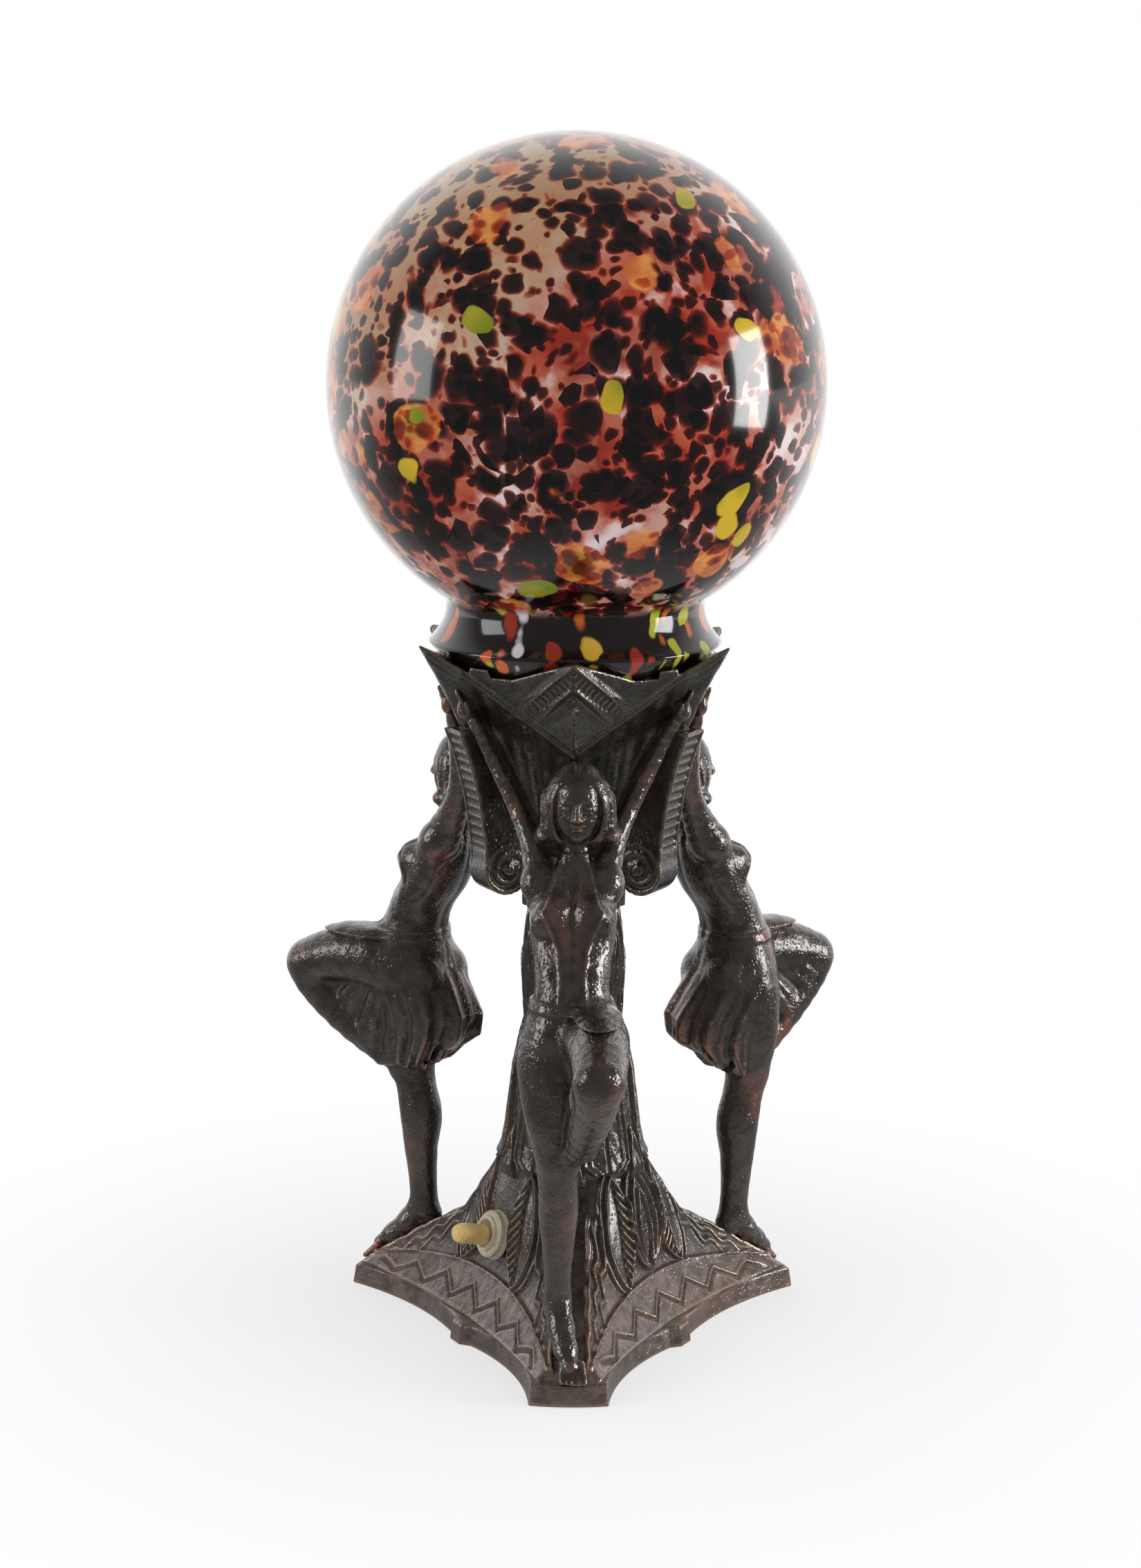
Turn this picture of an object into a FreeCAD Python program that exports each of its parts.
"""Figural table lamp: a triform base, a leafy column, three standing figures that carry a
hexagonal cup, and a glass globe over an E27 lampholder.

Millimetres. +Z is up, the floor is z = 0, the lamp's axis is the Z axis and the front is -Y.
The three figures face the directions 270, 30 and 150 degrees, and the cup's horns, the
scrolls and the middles of the base's sides lie between them, at 210, 330 and 90 degrees.
Pieces that repeat around the axis are modelled facing +X (their local frame is reach, side,
height) and then turned.
"""
import FreeCAD, Part
import math
import os

from FreeCAD import Vector

FRONT = 270.0
THIRD = 120.0
FIGURE_DIRECTIONS = (FRONT, FRONT + THIRD, FRONT + 2 * THIRD)
HORN_DIRECTIONS = tuple(direction - THIRD / 2 for direction in FIGURE_DIRECTIONS)
SWITCH_DIRECTION = 210.0
INLET_DIRECTION = 90.0
AXIS = Vector(0, 0, 1)
CENTRE = Vector(0, 0, 0)

# ---------------------------------------------------------------------------------------
# Driving sizes
# ---------------------------------------------------------------------------------------
SIZES = {
    # triform base casting
    "corner_reach": (78.2, "axis to a corner's end face"),
    "corner_width": (24.0, "width of a corner's end face"),
    "corner_crown": (1.2, "bow of a corner's end face"),
    "edge_height": (6.5, "height of the base's upright edge"),
    "edge_draft": (0.7, "how far the edge spreads towards the floor"),
    "side_reach": (40.8, "axis to the hollow of a side's two arcs"),
    "side_hollow": (19.0, "middle of a side to the hollow of each arc"),
    "cusp_reach": (44.6, "axis to the cusp in the middle of a side"),
    "cusp_half": (3.6, "half the width of the cusp"),
    "cusp_step": (2.3, "step from the cusp back to the arcs"),
    "cusp_shift": (3.5, "how far the two front cusps lie towards the front corner"),
    "sole_start": (78.0, "reach at which the foot ridge leaves the edge"),
    "sole_run": (1.5, "fall of the foot ridge: reach lost per unit of height"),
    "ridge_half": (5.4, "half the width of the foot ridge"),
    "band_reach": (30.2, "axis to the inner edge of the sloping band"),
    "band_height": (20.0, "height of the band's inner edge in the middle of a side"),
    "heel_height": (24.0, "height at which the ridge meets the mound"),
    "mound_height": (57.0, "height of the base casting"),
    "mound_reach": (23.6, "reach of the mound's top towards a figure"),
    "mound_side": (22.4, "reach of the mound's top towards a switch side"),
    "base_wall": (4.6, "wall of the hollow base"),
    "base_top": (7.0, "thickness of the deck on top of the hollow"),
    "pad_thick": (3.0, "thickness of the felt-faced board under the base"),
    "pad_margin": (4.4, "rim left round the board"),
    "pad_gap": (0.15, "clearance round the board"),
    # leafy column
    "column_height": (83.0, "height of the leafy column"),
    "column_foot": (20.6, "core radius at the column's foot"),
    "column_belly": (20.9, "core radius at the lower leaves' belly"),
    "column_waist": (14.2, "core radius between the tiers"),
    "column_bud": (15.1, "core radius at the bud of upper leaves"),
    "column_top": (14.9, "core radius under the cup casting"),
    "leaf_proud": (1.1, "how far a leaf stands out of its core"),
    # cup casting
    "cup_height": (88.5, "column top to the tips of the horns"),
    "horn_reach": (56.2, "axis to a horn's tip"),
    "crease_reach": (54.6, "axis to the crease between two horns, at the tips' height"),
    "panel_height": (34.5, "tips down to the point of a V-shaped panel"),
    "panel_reach": (37.0, "axis to the point of a panel"),
    "web_hollow": (27.0, "reach of the web half way down under a panel"),
    "horn_hollow": (38.5, "reach of a horn's keel half way down"),
    "keel_reach": (24.0, "reach of the keel at the foot of the web"),
    "trunk_radius": (16.5, "radius of the trunk under the webs"),
    "trunk_height": (18.0, "height of the plain trunk"),
    "rim_dip": (9.3, "how far the rim dips between horn and crease"),
    "crease_drop": (2.0, "how far the gable over a crease stays under the tips"),
    "scroll_reach": (26.8, "axis to the centre of a scroll"),
    "scroll_height": (15.0, "cup casting's foot to the centre of a scroll"),
    "scroll_radius": (8.3, "radius of a scroll"),
    "console_half": (5.8, "half the width of a console and its scroll"),
    "console_reach": (34.6, "reach of a console's ribbed face at its foot"),
    "console_top": (42.5, "reach of a console's ribbed face at its top"),
    "console_height": (60.0, "cup casting's foot to a console's top"),
    "rib_pitch": (4.0, "spacing of the grooves across a console"),
    "rib_groove": (0.8, "depth of those grooves"),
    "relief": (0.9, "how far a raised band or plate stands out of a panel"),
    "cup_floor": (64.0, "cup casting's foot to the floor of the cup"),
    "floor_thick": (6.0, "thickness of the cup's floor"),
    "bowl_radius": (20.0, "radius of the bowl's floor"),
    "ledge_depth": (15.5, "tips down to the ledge that carries the globe"),
    "ledge_inner": (33.0, "inner radius of that ledge"),
    "trunk_bore": (9.0, "radius of the hollow in the trunk and the column"),
    # figures
    "figure_peg_reach": (64.0, "axis to the peg in a figure's foot"),
    "figure_peg_side": (-1.95, "place of the peg across the foot"),
    "hand_reach": (42.8, "axis to the two hands under a horn"),
    "hand_side": (5.0, "a hand's distance from the horn's middle plane"),
    "hand_drop": (19.5, "tips down to a hand"),
    # glass globe
    "globe_diameter": (156.5, "outside diameter of the globe"),
    "globe_wall": (2.6, "thickness of the glass"),
    "collar_height": (24.0, "foot of the glass collar to the globe's neck"),
    "collar_foot": (37.8, "radius of the collar's foot"),
    "collar_lip": (46.6, "greatest radius of the collar, at the lip of its flare"),
    "collar_lip_height": (11.5, "foot of the collar to its lip"),
    "collar_flare": (16.0, "radius of the hollow curve between the lip and the neck"),
    "neck_radius": (41.0, "radius of the groove between collar and globe"),
    "glass_gap": (0.6, "clearance between the collar and the cup"),
    "ring_thick": (1.5, "thickness of the cork ring under the collar"),
    # threaded rod and its nuts
    "rod_radius": (5.0, "radius of the M10x1 lamp tube"),
    "rod_bore": (3.9, "bore radius of the lamp tube"),
    "rod_gap": (0.3, "clearance of the tube in its holes"),
    "nut_flats": (14.0, "width across the flats of the tube's nuts"),
    "nut_height": (5.0, "height of the tube's nuts"),
    "washer_radius": (11.0, "radius of the tube's washers"),
    "washer_thick": (1.5, "thickness of the tube's washers"),
    "rod_stub": (2.0, "tube that shows under its lower nut"),
    # pegs under the feet
    "peg_radius": (1.5, "radius of a foot's threaded peg"),
    "peg_depth": (7.0, "length of the peg inside the foot"),
    "peg_gap": (0.2, "clearance of the peg in the base"),
    "peg_flats": (5.5, "width across the flats of the peg's nut"),
    "peg_nut": (1.8, "height of the peg's nut"),
    "peg_washer": (0.5, "thickness of the peg's washer"),
    # lampholder and bulb
    "cap_hub": (7.5, "radius of the hub under the lampholder's cap"),
    "cap_hub_height": (7.0, "height of that hub"),
    "cap_radius": (18.5, "outside radius of the lampholder"),
    "cap_rise": (9.0, "height of the cap's dome"),
    "sheet_wall": (0.9, "thickness of the lampholder's brass"),
    "sleeve_height": (30.0, "height of the lampholder's outer sleeve"),
    "core_height": (12.0, "height of the porcelain core"),
    "screw_radius": (13.6, "inside radius of the E27 screw shell"),
    "screw_wall": (0.5, "thickness of the screw shell"),
    "screw_height": (20.0, "height of the screw shell"),
    "bulb_cap_radius": (13.2, "outside radius of the bulb's E27 cap"),
    "bulb_cap_height": (22.0, "height of that cap"),
    "bulb_radius": (22.5, "radius of the bulb's glass"),
    "bulb_neck": (11.5, "neck radius of the bulb's glass"),
    "bulb_rise": (24.0, "cap's top to the middle of the bulb's glass"),
    "bulb_wall": (0.8, "thickness of the bulb's glass"),
    "contact_radius": (4.0, "radius of the bulb's and the holder's middle contacts"),
    "contact_height": (1.6, "height of each middle contact"),
    # toggle switch
    "switch_reach": (28.3, "axis to the seat of the switch, along its direction"),
    "switch_height": (32.4, "height of the seat of the switch"),
    "switch_tilt": (16.0, "degrees by which the switch points up"),
    "boss_radius": (9.0, "radius of the flat seat"),
    "boss_depth": (5.0, "thickness of the casting at the seat"),
    "bush_radius": (5.9, "radius of the threaded bush"),
    "bush_bore": (4.5, "mouth of the bush"),
    "bush_out": (4.6, "length of the bush outside the seat"),
    "bush_gap": (0.15, "clearance of the bush in its hole"),
    "dress_washer": (8.2, "radius of the dress washer"),
    "dress_washer_thick": (1.0, "thickness of the dress washer"),
    "dress_nut": (7.6, "radius of the dress nut"),
    "dress_nut_height": (2.4, "height of the dress nut"),
    "back_nut_flats": (14.0, "width across the flats of the switch's back nut"),
    "back_nut_height": (1.8, "height of the switch's back nut"),
    "housing_radius": (8.0, "radius of the switch's housing"),
    "housing_length": (15.5, "length of the switch's housing"),
    "housing_wall": (1.4, "wall of the switch's housing"),
    "lever_radius": (3.3, "radius of the lever's handle"),
    "lever_neck": (2.0, "radius of the lever's neck"),
    "lever_out": (18.6, "seat to the tip of the lever"),
    "lever_swing": (13.0, "degrees of the lever to either side of the middle"),
    "pivot_depth": (3.0, "seat to the lever's pivot, inwards"),
    "pivot_radius": (0.9, "radius of the lever's pin"),
    "tail_length": (6.0, "pivot to the end of the lever's tail"),
    "tail_radius": (0.9, "radius of the lever's tail"),
    # cord inlet and wiring
    "inlet_height": (13.0, "height of the cord inlet"),
    "inlet_bore": (3.4, "bore radius of the inlet's bush"),
    "inlet_wall": (1.6, "wall of the inlet's bush"),
    "inlet_flange": (1.5, "width and thickness of the bush's flange"),
    "lead_radius": (1.0, "radius of an insulated lead"),
    "block_length": (16.0, "length of the connector block"),
    "block_width": (9.0, "width of the connector block"),
    "block_height": (8.0, "height of the connector block"),
}

doc = FreeCAD.newDocument("figural_table_lamp")
sheet = doc.addObject("Spreadsheet::Sheet", "Sizes")
for row, (alias, (value, meaning)) in enumerate(SIZES.items(), start=1):
    sheet.set("A%d" % row, meaning)
    sheet.set("B%d" % row, str(value))
    sheet.setAlias("B%d" % row, alias)
doc.recompute()


def size(expression):
    """Value of an expression over the sheet's aliases, which are written bare."""
    return float(sheet.evalExpression(bound(expression)))


def bound(expression):
    """The same expression with every alias written as a reference to the sheet."""
    text, word = "", ""
    for letter in str(expression) + " ":
        if letter.isalnum() or letter == "_":
            word += letter
            continue
        text += ("Sizes." + word if word in SIZES else word) + letter
        word = ""
    return text.strip()


# Heights of the castings' seats, as expressions that objects and Python code both use
COLUMN_FOOT = "mound_height"
CUP_FOOT = "(mound_height + column_height)"
TIPS = "(mound_height + column_height + cup_height)"
CUP_FLOOR = "(mound_height + column_height + cup_floor)"
LEDGE = "(mound_height + column_height + cup_height - ledge_depth)"
DECK_UNDER = "(mound_height - base_top)"
COLLAR_FOOT = "(mound_height + column_height + cup_height - ledge_depth + ring_thick)"
NECK = "(mound_height + column_height + cup_height - ledge_depth + ring_thick + collar_height)"
ROD_FOOT = "(mound_height - base_top - washer_thick - nut_height - rod_stub)"
CAP_FOOT = "(mound_height + column_height + cup_floor + washer_thick + nut_height)"
CORE_FOOT = "(%s + cap_hub_height + cap_rise)" % CAP_FOOT
SCREW_FOOT = "(%s + core_height - 2)" % CORE_FOOT
CONTACT_FOOT = "(%s + core_height - 3)" % CORE_FOOT
BULB_FOOT = "(%s + contact_height)" % CONTACT_FOOT

pieces = []


def keep(item, name):
    """Register a finished sub-part under its node name."""
    item.Label = name
    pieces.append(item)
    return item


# ---------------------------------------------------------------------------------------
# Small helpers
# ---------------------------------------------------------------------------------------
def local(reach, side, height, direction=0.0):
    """Point given by its reach along a direction, its place to the left of it and height."""
    angle = math.radians(direction)
    return Vector(reach * math.cos(angle) - side * math.sin(angle),
                  reach * math.sin(angle) + side * math.cos(angle), height)


def turned(shape, direction):
    """Copy of a shape that was modelled facing +X, turned to a direction."""
    copy = shape.copy()
    copy.rotate(CENTRE, AXIS, direction)
    return copy


def around(shape, directions=FIGURE_DIRECTIONS):
    return [turned(shape, direction) for direction in directions]


def feature(name, shape):
    """Document object for a shape that primitives and sketches don't reach."""
    item = doc.addObject("Part::Feature", name)
    item.Shape = shape
    return keep(item, name)


def one_solid(shape):
    """The cleaned result of a boolean, which must be a single solid."""
    shape = shape.removeSplitter()
    if len(shape.Solids) != 1:
        raise ValueError("expected one solid, found %d" % len(shape.Solids))
    return shape.Solids[0]


def set_sizes(item, **expressions):
    for name, expression in expressions.items():
        item.setExpression(name, bound(expression))
    return item


def cylinder(name, radius, height, base="0"):
    item = doc.addObject("Part::Cylinder", name)
    set_sizes(item, Radius=radius, Height=height)
    item.setExpression("Placement.Base.z", bound(base))
    return item


def prism(name, flats, height, base="0"):
    item = doc.addObject("Part::Prism", name)
    item.Polygon = 6
    set_sizes(item, Circumradius="(%s) / sqrt(3)" % flats, Height=height)
    item.setExpression("Placement.Base.z", bound(base))
    return item


def cut(name, base, tool):
    item = doc.addObject("Part::Cut", name)
    item.Base = base
    item.Tool = tool
    return item


def ring(name, outer, inner, height, base):
    """Washer or tube on the lamp's axis."""
    body = cylinder(name + "_body", outer, height, base)
    hole = cylinder(name + "_hole", inner, height, base)
    return keep(cut(name, body, hole), name)


def hex_nut(name, flats, bore, height, base):
    body = prism(name + "_body", flats, height, base)
    hole = cylinder(name + "_hole", bore, height, base)
    return keep(cut(name, body, hole), name)


def revolved(name, outline):
    """Body made by revolving a closed outline about the lamp's axis.

    outline is a list of (radius, height, bulge): the edge that leaves the point is straight
    when bulge is None, and otherwise an arc of that radius. The arc bulges to the right of
    its chord when the radius is positive and to the left when it is negative.
    """
    body = doc.addObject("PartDesign::Body", name)
    sketch = body.newObject("Sketcher::SketchObject", name + "_outline")
    plane = [f for f in body.Origin.OriginFeatures if f.Role == "XZ_Plane"][0]
    sketch.AttachmentSupport = (plane, [""])
    sketch.MapMode = "FlatFace"
    places = [Vector(size(r), size(z), 0) for r, z, bulge in outline]
    count = len(outline)
    for index, (_, _, bulge) in enumerate(outline):
        start, end = places[index], places[(index + 1) % count]
        if bulge is None:
            sketch.addGeometry(Part.LineSegment(start, end), False)
        else:
            sketch.addGeometry(arc_by_radius(start, end, bulge), False)
    tied = []
    for index, (r, z, bulge) in enumerate(outline):
        first, last = edge_ends(outline[index - 1][2])[1], edge_ends(bulge)[0]
        sketch.addConstraint(sketcher("Coincident", (index - 1) % count, first, index, last))
        tied.append(tie(sketch, "DistanceX", index, last, r, places[index].x))
        tied.append(tie(sketch, "DistanceY", index, last, z, places[index].y))
        if bulge is not None:
            radius = "abs(%s)" % bulge
            number = sketch.addConstraint(sketcher("Radius", index, size(radius)))
            sketch.setExpression("Constraints[%d]" % number, bound(radius))
    revolution = body.newObject("PartDesign::Revolution", name + "_revolution")
    revolution.Profile = sketch
    revolution.ReferenceAxis = (sketch, ["V_Axis"])
    revolution.Angle = 360
    return keep(body, name)


def sketcher(kind, *values):
    import Sketcher
    return Sketcher.Constraint(kind, *values)


def edge_ends(bulge):
    """Sketch numbers of an edge's start and end: an arc that was drawn clockwise swaps them."""
    if bulge is not None and size(bulge) < 0:
        return 2, 1
    return 1, 2


def tie(sketch, kind, index, end, expression, value):
    """Fix one coordinate of an outline's corner to an expression."""
    if abs(value) < 1e-9:
        axis = -2 if kind == "DistanceX" else -1
        return sketch.addConstraint(sketcher("PointOnObject", index, end, axis))
    number = sketch.addConstraint(sketcher(kind, -1, 1, index, end, value))
    sketch.setExpression("Constraints[%d]" % number, bound(expression))
    return number


def arc_by_radius(start, end, bulge):
    """Arc of under half a circle between two points of a sketch."""
    radius = abs(size(bulge))
    chord = end - start
    right = Vector(chord.y, -chord.x, 0).normalize()
    if size(bulge) < 0:
        right = right * -1
    sagitta_centre = math.sqrt(max(radius ** 2 - (chord.Length / 2) ** 2, 0.0))
    centre = start + chord * 0.5 - right * sagitta_centre
    circle = Part.Circle(centre, Vector(0, 0, 1), radius)
    first, last = circle.parameter(start), circle.parameter(end)
    if size(bulge) < 0:
        first, last = last, first
    return Part.ArcOfCircle(circle, first, last)


def polygon_ring(centre, normal, width_axis, depth, width, corners):
    """Closed polygon on an ellipse, square to a limb's path."""
    normal = Vector(normal).normalize()
    across = (width_axis - normal * width_axis.dot(normal)).normalize()
    along = normal.cross(across)
    points = []
    for step in range(corners + 1):
        angle = 2 * math.pi * (step + 0.5) / corners
        points.append(centre + across * (width * math.cos(angle))
                      + along * (depth * math.sin(angle)))
    points[-1] = points[0]
    return Part.makePolygon(points)


def limb(stations, corners=10, width_axis=Vector(0, 1, 0), normal=None):
    """Ruled loft through rings at stations (point, depth, width)."""
    rings = []
    for index, (centre, depth, width) in enumerate(stations):
        before = stations[max(index - 1, 0)][0]
        after = stations[min(index + 1, len(stations) - 1)][0]
        facing = normal if normal is not None else before - after
        rings.append(polygon_ring(centre, facing, width_axis, depth, width, corners))
    return Part.makeLoft(rings, True, True)


def ball(centre, radius, corners=8):
    """Faceted ball, for the ends of limbs."""
    stations = []
    for step in (-0.92, -0.55, 0.0, 0.55, 0.92):
        across = radius * math.sqrt(1 - step ** 2)
        stations.append((centre + AXIS * (radius * step), across, across))
    return limb(stations, corners, Vector(0, 1, 0), AXIS)


def egg(centre, depth, width, height, corners=10):
    """Faceted ellipsoid with a vertical axis."""
    stations = []
    for step in (-0.93, -0.7, -0.3, 0.2, 0.6, 0.93):
        share = math.sqrt(1 - step ** 2)
        stations.append((centre + AXIS * (height * step), depth * share, width * share))
    return limb(stations, corners, Vector(0, 1, 0), AXIS)


def slab(points, thickness_vector):
    """Flat polygon pushed along a vector."""
    return Part.Face(Part.makePolygon(points + [points[0]])).extrude(thickness_vector)


# ---------------------------------------------------------------------------------------
# Base casting, its closing board and the pegs
# ---------------------------------------------------------------------------------------
def triform(height, ridge, half, side):
    """Three straight ridge ends joined by three arcs through the sides' middles."""
    edges = []
    for direction in FIGURE_DIRECTIONS:
        start = local(ridge, -half, height, direction)
        end = local(ridge, half, height, direction)
        middle = local(side, 0, height, direction + THIRD / 2)
        following = local(ridge, -half, height, direction + THIRD)
        edges.append(Part.makeLine(start, end))
        edges.append(Part.Arc(end, middle, following).toShape())
    return Part.Wire(edges)


def ridge_at(height):
    """Reach of the sloping foot ridge at a height."""
    return size("sole_start") - size("sole_run") * (height - size("edge_height"))


def base_outline(height, spread):
    """The triform outline with its end faces, shallow arcs and stepped cusps."""
    reach, half = size("corner_reach") + spread, size("corner_width") / 2 + spread * 0.5
    edges = []
    for direction in FIGURE_DIRECTIONS:
        side_direction = direction + THIRD / 2
        shift = size("cusp_shift") * {210: 1, 330: -1}.get(round(side_direction) % 360, 0)
        start = local(reach, -half, height, direction)
        crown = local(reach + size("corner_crown"), 0, height, direction)
        end = local(reach, half, height, direction)
        following = local(reach, -half, height, direction + THIRD)
        cusp, foot = size("cusp_reach") + spread, size("cusp_reach - cusp_step") + spread
        wide, narrow = size("cusp_half + 1"), size("cusp_half")
        hollow = size("side_reach") + spread

        def on_side(reach_out, along):
            return local(reach_out, along, height, side_direction)

        dip_before = on_side(hollow, shift / 2 - size("side_hollow"))
        dip_after = on_side(hollow, shift / 2 + size("side_hollow"))
        edges.append(Part.Arc(start, crown, end).toShape())
        edges.append(Part.Arc(end, dip_before, on_side(foot, shift - wide)).toShape())
        edges.append(Part.makeLine(on_side(foot, shift - wide), on_side(cusp, shift - narrow)))
        edges.append(Part.makeLine(on_side(cusp, shift - narrow), on_side(cusp, shift + narrow)))
        edges.append(Part.makeLine(on_side(cusp, shift + narrow), on_side(foot, shift + wide)))
        edges.append(Part.Arc(on_side(foot, shift + wide), dip_after, following).toShape())
    return Part.Wire(edges)


def mound_shape(grow=0.0):
    """Sloping band, foot ridges and mound, from the edge up to the column's seat."""
    edge, band, heel = size("edge_height"), size("band_height"), size("heel_height")
    top, ridge_half = size("mound_height"), size("ridge_half")
    slope = (size("side_reach") - 1.0 - size("band_reach")) / (band - edge)

    def band_at(height):
        return size("side_reach") - 1.0 - slope * (height - edge)

    def between(share):
        """Height, ridge and side between the heel and the top of the mound."""
        height = heel + (top - heel) * share
        ridge = ridge_at(heel) + (size("mound_reach") - ridge_at(heel)) * math.sqrt(share)
        side = size("band_reach - 1.6") + (size("mound_side - band_reach") + 1.6) * share ** 1.5
        return height, ridge, ridge_half + 3.5 * share, side

    low, high = edge + (band - edge) * 0.26, edge + (band - edge) * 0.56
    sections = [(edge, ridge_at(edge), 9.0, band_at(edge)),
                (low, ridge_at(low), ridge_half + 1.0, band_at(low)),
                (high, ridge_at(high), ridge_half, band_at(high)),
                (band, ridge_at(band), ridge_half, band_at(band)),
                (heel, ridge_at(heel), ridge_half, size("band_reach - 1.6")),
                between(0.25), between(0.52), between(0.8), between(1.0)]
    wires = [triform(h, r + grow, w + grow * 0.6, s + grow) for h, r, w, s in sections]
    return Part.makeLoft(wires, True, True)


def switch_place(depth, side=0.0, up=0.0):
    """Point in the switch's frame: out along its axis, to its left, and up across it."""
    tilt = math.radians(size("switch_tilt"))
    reach = size("switch_reach") + depth * math.cos(tilt) - up * math.sin(tilt)
    height = size("switch_height") + depth * math.sin(tilt) + up * math.cos(tilt)
    return local(reach, side, height, SWITCH_DIRECTION)


SWITCH_OUT = (switch_place(1) - switch_place(0)).normalize()
SWITCH_SIDE = (switch_place(0, 1) - switch_place(0)).normalize()
SWITCH_UP = (switch_place(0, 0, 1) - switch_place(0)).normalize()


def switch_rod(radius, inner, outer):
    """Cylinder on the switch's axis between two distances from the seat."""
    return Part.makeCylinder(radius, outer - inner, switch_place(inner), SWITCH_OUT)


def base_hollow():
    """The room inside the casting, open below."""
    wall, edge, deck = size("base_wall"), size("edge_height"), size(DECK_UNDER)
    band, heel = size("band_height"), size("heel_height")
    pocket = [triform(height, ridge_at(edge) - 1.9 * wall, 6.4, size("side_reach") - 1.35 * wall)
              for height in (size("pad_thick") - 0.01, edge - 0.4)]
    middle = (edge + band) / 2
    slope = (size("side_reach") - size("band_reach")) / (band - edge)

    def side_at(height):
        return size("side_reach") - slope * (height - edge) - 1.6 * wall

    sections = [(edge - 0.5, ridge_at(edge) - 4.0 * wall, 4.6, side_at(edge)),
                (middle, ridge_at(middle) - 4.0 * wall, 4.0, side_at(middle)),
                (heel, ridge_at(heel) - 3.0 * wall, 4.6, size("band_reach") - 1.35 * wall),
                ((heel + deck) / 2, size("mound_reach"), 6.0, size("mound_side") - 0.4 * wall),
                (deck, size("mound_reach") - 1.6 * wall, 8.0, size("mound_side") - wall)]
    room = Part.makeLoft([triform(*section) for section in sections], True, True)
    return Part.makeLoft(pocket, True, True).fuse(room)


def board_shape(gap):
    """The closing board, or with gap 0 the recess that it fills."""
    margin = size("pad_margin") + gap
    wires = [triform(height, size("corner_reach") - margin, size("corner_width") / 2 - margin,
                     size("side_reach") - margin) for height in (0.0, size("pad_thick"))]
    return Part.makeLoft(wires, True, True)


def peg_at(radius, low, high):
    """Upright cylinder on a foot peg's axis."""
    foot = Vector(size("figure_peg_reach"), size("figure_peg_side"), low)
    return Part.makeCylinder(radius, high - low, foot)


def sole_height(reach):
    """Height of the foot ridge at a reach."""
    return size("edge_height") + (size("sole_start") - reach) / size("sole_run")


def mound_leaf(direction, foot, tip, half, grow):
    """Almond leaf raised out of the mound: the grown mound inside an almond-shaped prism."""
    low = local(12, 0, foot, 0)
    middle = (foot + tip) * 0.5 - 3
    outline = Part.Wire([
        Part.Arc(low, local(12, half, middle), local(12, 0, tip)).toShape(),
        Part.Arc(local(12, 0, tip), local(12, -half, middle), low).toShape()])
    prism_shape = Part.Face(outline).extrude(Vector(40, 0, 0))
    return mound_shape(grow).common(turned(prism_shape, direction))


def base_casting():
    outline = [base_outline(0.0, size("edge_draft")), base_outline(size("edge_height"), 0.0)]
    shape = Part.makeLoft(outline, True, True).fuse(mound_shape())
    leaves = []
    for direction in FIGURE_DIRECTIONS:
        for turn in (-31, 31):
            leaves.append(mound_leaf(direction + turn, size("band_height") - 1.5,
                                     size("mound_height") - 2.5, 6.2, size("leaf_proud")))
    shape = shape.fuse(leaves)
    shape = shape.fuse(switch_rod(size("boss_radius"), -size("boss_depth"), 0.0))
    shape = shape.cut(switch_rod(size("boss_radius"), 0.0, 12.0))
    shape = shape.cut(base_hollow())
    shape = shape.cut(switch_rod(size("boss_radius") - 0.3, -26.0, -size("boss_depth")))
    shape = shape.fuse(switch_rod(size("boss_radius"), -size("boss_depth"), -1.0))
    tools = [board_shape(0.0), switch_rod(size("bush_radius + bush_gap"), -30.0, 12.0),
             Part.makeCylinder(size("rod_radius + rod_gap"), size("base_top") + 2,
                               Vector(0, 0, size(DECK_UNDER) - 1)),
             inlet_cylinder("inlet_bore + inlet_wall", 8.0, 60.0),
             inlet_cylinder("inlet_bore + inlet_wall + inlet_flange + 0.3",
                            inlet_seat() + INLET_STEP, 60.0)]
    tools += around(peg_at(size("peg_radius + peg_gap"), 0.0, 40.0))
    return one_solid(shape.cut(tools))


def inlet_cylinder(radius, inner, outer):
    """Cylinder along the cord inlet, between two reaches."""
    start = local(inner, 0, size("inlet_height"), INLET_DIRECTION)
    return Part.makeCylinder(size(radius), outer - inner, start, local(1, 0, 0, INLET_DIRECTION))


INLET_STEP = 1.4


def inlet_seat():
    """Reach at which the inlet's axis leaves the sloping band."""
    edge, band = size("edge_height"), size("band_height")
    slope = (size("side_reach") - 1.0 - size("band_reach")) / (band - edge)
    return size("side_reach") - 1.0 - slope * (size("inlet_height") - edge)


base = base_casting()
feature("base_casting", base)
feature("base_board", board_shape(size("pad_gap")))

PEG_SEAT = size("edge_height") - 0.4
peg_nut_top = PEG_SEAT - size("peg_washer")
peg_top = sole_height(size("figure_peg_reach")) + size("peg_depth")
feature("foot_pegs", Part.makeCompound(around(
    peg_at(size("peg_radius"), peg_nut_top - size("peg_nut") - 0.4, peg_top))))
peg_washer = peg_at(3.5, peg_nut_top, PEG_SEAT).cut(peg_at(size("peg_radius"), 0, 40))
feature("foot_washers", Part.makeCompound(around(peg_washer)))


def peg_nut():
    points = [Vector(size("figure_peg_reach"), size("figure_peg_side"),
                     peg_nut_top - size("peg_nut"))
              + local(size("peg_flats") / math.sqrt(3), 0, 0, 60 * k) for k in range(6)]
    return slab(points, AXIS * size("peg_nut")).cut(peg_at(size("peg_radius"), 0, 40))


feature("foot_nuts", Part.makeCompound(around(peg_nut())))


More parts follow.
